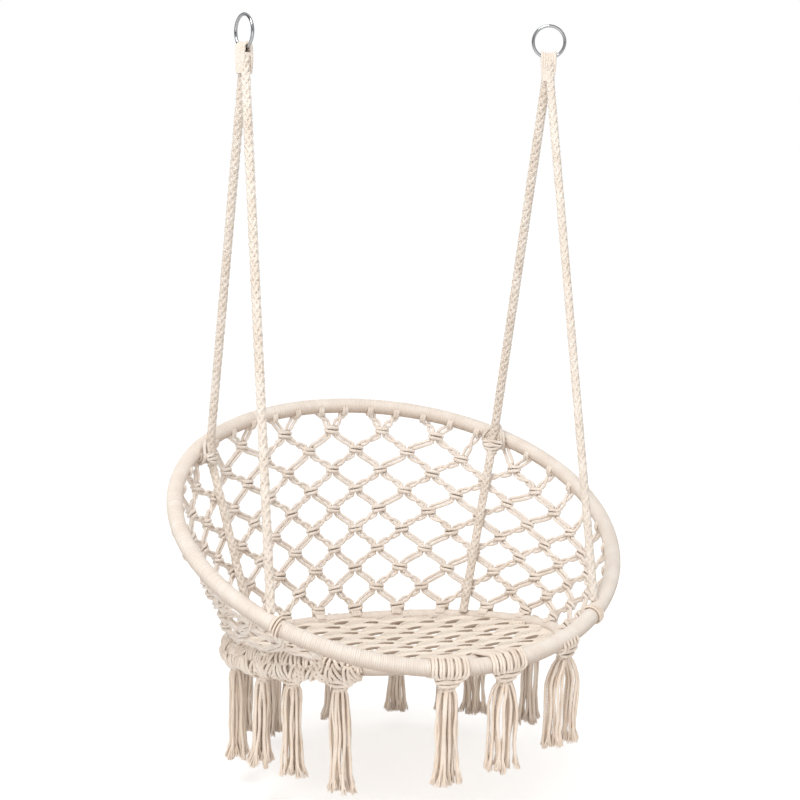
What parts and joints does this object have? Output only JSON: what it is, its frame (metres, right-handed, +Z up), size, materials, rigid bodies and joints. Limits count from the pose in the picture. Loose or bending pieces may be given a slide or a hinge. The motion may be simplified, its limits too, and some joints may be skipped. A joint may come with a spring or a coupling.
{
  "type": "hanging hammock chair",
  "caption": "Hanging hammock chair: two cord-wound steel hoops, knotted net back and seat, cord tassels, and ropes that rise to two steel rings.",
  "frame": {"origin": "midway between the tops of the two steel rings, on the line where hooks hold them", "axes": "+Z up, the front of the seat faces -Y, +X to the right of someone who looks at the front"},
  "size_m": [0.8052, 0.7374, 1.3037],
  "materials": {
    "cotton_cord": "matte",
    "loose_cord": "matte",
    "ring_steel": "polished",
    "hoop_steel": "plain"
  },
  "bodies": {
    "rings": {"ring_left": "ring_steel", "ring_right": "ring_steel"},
    "chair": {"back_hoop_tube": "hoop_steel", "back_hoop_wrap_front": "cotton_cord", "back_hoop_wrap_right": "cotton_cord", "back_hoop_wrap_rear": "cotton_cord", "back_hoop_wrap_left": "cotton_cord", "seat_hoop_tube": "hoop_steel", "seat_hoop_wrap_front": "cotton_cord", "seat_hoop_wrap_right": "cotton_cord", "seat_hoop_wrap_left": "cotton_cord", "seat_web": "cotton_cord", "hanger_left": "cotton_cord", "hanger_right": "cotton_cord", "rope_front_left": "cotton_cord", "rope_rear_left": "cotton_cord", "rope_front_right": "cotton_cord", "rope_rear_right": "cotton_cord", "lashing_front_left": "loose_cord", "lashing_rear_left": "loose_cord", "lashing_front_right": "loose_cord", "lashing_rear_right": "loose_cord", "back_net": "cotton_cord", "gather_01": "cotton_cord", "gather_02": "cotton_cord", "gather_03": "cotton_cord", "gather_04": "cotton_cord", "gather_05": "cotton_cord", "gather_06": "cotton_cord", "gather_07": "cotton_cord", "gather_08": "cotton_cord", "gather_09": "cotton_cord", "gather_10": "cotton_cord", "gather_11": "cotton_cord", "gather_12": "cotton_cord", "gather_13": "cotton_cord", "gather_14": "cotton_cord"},
    "tassel_01": {"tassel_01": "loose_cord"},
    "tassel_02": {"tassel_02": "loose_cord"},
    "tassel_03": {"tassel_03": "loose_cord"},
    "tassel_04": {"tassel_04": "loose_cord"},
    "tassel_05": {"tassel_05": "loose_cord"},
    "tassel_06": {"tassel_06": "loose_cord"},
    "tassel_07": {"tassel_07": "loose_cord"},
    "tassel_08": {"tassel_08": "loose_cord"},
    "tassel_09": {"tassel_09": "loose_cord"},
    "tassel_10": {"tassel_10": "loose_cord"},
    "tassel_11": {"tassel_11": "loose_cord"},
    "tassel_12": {"tassel_12": "loose_cord"},
    "tassel_13": {"tassel_13": "loose_cord"},
    "tassel_14": {"tassel_14": "loose_cord"}
  },
  "joints": [
    {"name": "swing", "type": "hinge", "parent": "rings", "child": "chair", "pos_m": [0, 0, -0.05225], "axis": [1, 0, 0], "range_deg": [-20, 20]},
    {"name": "tassel_01_swing", "type": "hinge", "parent": "chair", "child": "tassel_01", "pos_m": [-0.24498, -0.16412, -1.0804], "axis": [0.5181, -0.8553, 0], "range_deg": [-40, 40]},
    {"name": "tassel_02_swing", "type": "hinge", "parent": "chair", "child": "tassel_02", "pos_m": [-0.27473, -0.09625, -1.08909], "axis": [0.2777, -0.9607, 0], "range_deg": [-40, 40]},
    {"name": "tassel_03_swing", "type": "hinge", "parent": "chair", "child": "tassel_03", "pos_m": [-0.28146, 0.03112, -1.10541], "axis": [-0.175, -0.9846, 0], "range_deg": [-40, 40]},
    {"name": "tassel_04_swing", "type": "hinge", "parent": "chair", "child": "tassel_04", "pos_m": [-0.22825, 0.15249, -1.12096], "axis": [-0.6049, -0.7963, 0], "range_deg": [-40, 40]},
    {"name": "tassel_05_swing", "type": "hinge", "parent": "chair", "child": "tassel_05", "pos_m": [-0.1429, 0.22739, -1.13055], "axis": [-0.8678, -0.497, 0], "range_deg": [-40, 40]},
    {"name": "tassel_06_swing", "type": "hinge", "parent": "chair", "child": "tassel_06", "pos_m": [-0.01496, 0.26498, -1.13537], "axis": [-0.9987, -0.0519, 0], "range_deg": [-40, 40]},
    {"name": "tassel_07_swing", "type": "hinge", "parent": "chair", "child": "tassel_07", "pos_m": [0.10242, 0.24654, -1.133], "axis": [-0.9345, 0.3558, 0], "range_deg": [-40, 40]},
    {"name": "tassel_08_swing", "type": "hinge", "parent": "chair", "child": "tassel_08", "pos_m": [0.18371, 0.19905, -1.12692], "axis": [-0.7686, 0.6397, 0], "range_deg": [-40, 40]},
    {"name": "tassel_09_swing", "type": "hinge", "parent": "chair", "child": "tassel_09", "pos_m": [0.22674, 0.15446, -1.12121], "axis": [-0.6119, 0.791, 0], "range_deg": [-40, 40]},
    {"name": "tassel_10_swing", "type": "hinge", "parent": "chair", "child": "tassel_10", "pos_m": [0.28228, 0.02624, -1.10478], "axis": [-0.1577, 0.9875, 0], "range_deg": [-40, 40]},
    {"name": "tassel_11_swing", "type": "hinge", "parent": "chair", "child": "tassel_11", "pos_m": [-0.1875, -0.23206, -1.07169], "axis": [0.7573, -0.653, 0], "range_deg": [-40, 40]},
    {"name": "tassel_12_swing", "type": "hinge", "parent": "chair", "child": "tassel_12", "pos_m": [-0.04722, -0.34654, -1.05372], "axis": [0.9942, -0.1079, 0], "range_deg": [-40, 40]},
    {"name": "tassel_13_swing", "type": "hinge", "parent": "chair", "child": "tassel_13", "pos_m": [0.05259, -0.34592, -1.05339], "axis": [0.9927, 0.1202, 0], "range_deg": [-40, 40]},
    {"name": "tassel_14_swing", "type": "hinge", "parent": "chair", "child": "tassel_14", "pos_m": [0.17592, -0.3117, -1.03526], "axis": [0.9113, 0.4118, 0], "range_deg": [-40, 40]}
  ]
}
